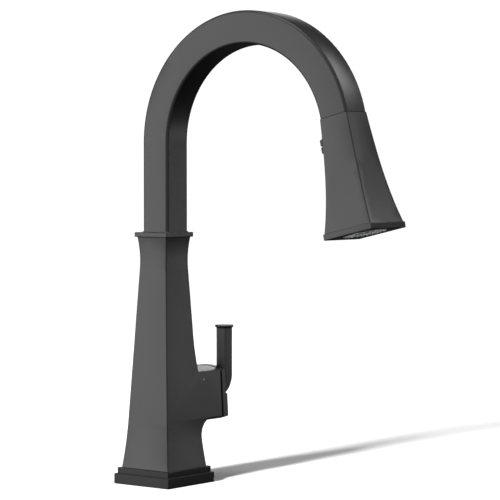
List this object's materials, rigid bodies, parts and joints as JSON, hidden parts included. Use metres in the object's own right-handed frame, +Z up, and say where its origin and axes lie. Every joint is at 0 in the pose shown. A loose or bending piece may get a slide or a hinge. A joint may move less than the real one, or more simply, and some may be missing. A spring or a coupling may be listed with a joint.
{
  "type": "pull-down kitchen faucet",
  "caption": "Deck-mounted kitchen faucet with a square arched spout, pull-down spray head, side lever and tapered square column on a stepped base.",
  "frame": {"origin": "centre of the base on the deck, on the mounting shank's axis", "axes": "+Z up; -Y is the front, where the spout reaches over the sink; +X is the user's right, the lever's side"},
  "size_m": [0.1064, 0.2743, 0.4568],
  "materials": {
    "black_body": "fine matte black powder coat over metal",
    "black_base": "matte black, a little smoother than the column",
    "black_head": "matte black moulded shell to match the metal",
    "black_face": "black spray face",
    "nozzle_rubber": "pale soft rubber nozzles",
    "button_black": "satin black button",
    "index_blue_red": "small pale index pin",
    "brass": "bare turned brass",
    "steel": "stainless steel",
    "ceramic": "polished ceramic disc",
    "seal_rubber": "black rubber seal",
    "gasket_rubber": "soft black gasket",
    "white_plastic": "white acetal",
    "grey_plastic": "grey glass-filled nylon",
    "magnet": "plated magnet ring",
    "hose_braid": "dark braided nylon sleeve"
  },
  "bodies": {
    "faucet_body": {"base_plinth": "black_base", "deck_gasket": "gasket_rubber", "base_screws": "steel", "mounting_shank": "brass", "column_body": "black_body", "index_pin": "index_blue_red", "hose_guide": "white_plastic", "swivel_bushing": "white_plastic", "collar": "black_base", "cartridge_housing": "white_plastic", "cartridge_nut": "brass", "fixed_ceramic_disc": "ceramic", "port_nipples": "brass"},
    "handle_hub": {"cartridge_spindle": "brass", "hub_plate": "black_body", "hub_screws": "steel", "lever_pivot_pin": "steel"},
    "handle_lever": {"lever": "black_body", "lever_stem": "steel", "lever_screw": "steel", "lever_cap": "black_body"},
    "cartridge_disc": {"moving_ceramic_disc": "ceramic"},
    "spout": {"spout_tube": "black_body", "spout_sleeve": "brass", "sleeve_o_rings": "seal_rubber", "retaining_clip": "steel", "dock_insert": "grey_plastic", "dock_magnet": "magnet", "pull_down_hose": "hose_braid"},
    "hose_end": {"hose_fitting": "brass"},
    "spray_head": {"head_shell": "black_head", "dock_plate": "steel", "head_rim": "black_head", "spray_face": "black_face", "nozzle_mat": "nozzle_rubber", "stream_outlet": "grey_plastic", "head_inlet": "brass", "check_valve": "white_plastic", "diverter_block": "grey_plastic", "spray_chamber": "grey_plastic", "rocker_pin": "steel"},
    "mode_button": {"mode_rocker": "button_black"},
    "diverter": {"diverter_spool": "steel", "spool_o_rings": "seal_rubber"}
  },
  "joints": [
    {"name": "handle_temperature", "type": "hinge", "parent": "faucet_body", "child": "handle_hub", "pos_m": [0, 0, 0.0766], "axis": [1, 0, 0], "range_deg": [-45, 45]},
    {"name": "handle_flow", "type": "hinge", "parent": "handle_hub", "child": "handle_lever", "pos_m": [0.0603, 0, 0.0766], "axis": [0, 1, 0], "range_deg": [0, 20]},
    {"name": "disc_slide", "type": "slide", "parent": "handle_hub", "child": "cartridge_disc", "axis": [0, 0, 1], "range_m": [0, 0.0036]},
    {"name": "spout_swivel", "type": "hinge", "parent": "faucet_body", "child": "spout", "pos_m": [0, 0, 0], "axis": [0, 0, 1], "continuous": true},
    {"name": "head_pull", "type": "slide", "parent": "spout", "child": "hose_end", "axis": [0, -0.225, -0.9744], "range_m": [0, 0.2], "deforming": ["pull_down_hose"]},
    {"name": "head_spin", "type": "hinge", "parent": "hose_end", "child": "spray_head", "pos_m": [0, -0.19788, 0.31465], "axis": [0, 0.225, 0.9744], "continuous": true},
    {"name": "diverter_slide", "type": "slide", "parent": "spray_head", "child": "diverter", "axis": [0, 0.225, 0.9744], "range_m": [-0.00054, 0.00054]},
    {"name": "mode_tilt", "type": "hinge", "parent": "spray_head", "child": "mode_button", "pos_m": [0, -0.18753, 0.29994], "axis": [1, 0, 0], "range_deg": [-7, 7]}
  ],
  "couplings": [
    {"joint": "disc_slide", "follows": "handle_flow", "m_per_rad": 0.0103},
    {"joint": "mode_tilt", "follows": "diverter_slide", "rad_per_m": -222.2}
  ]
}
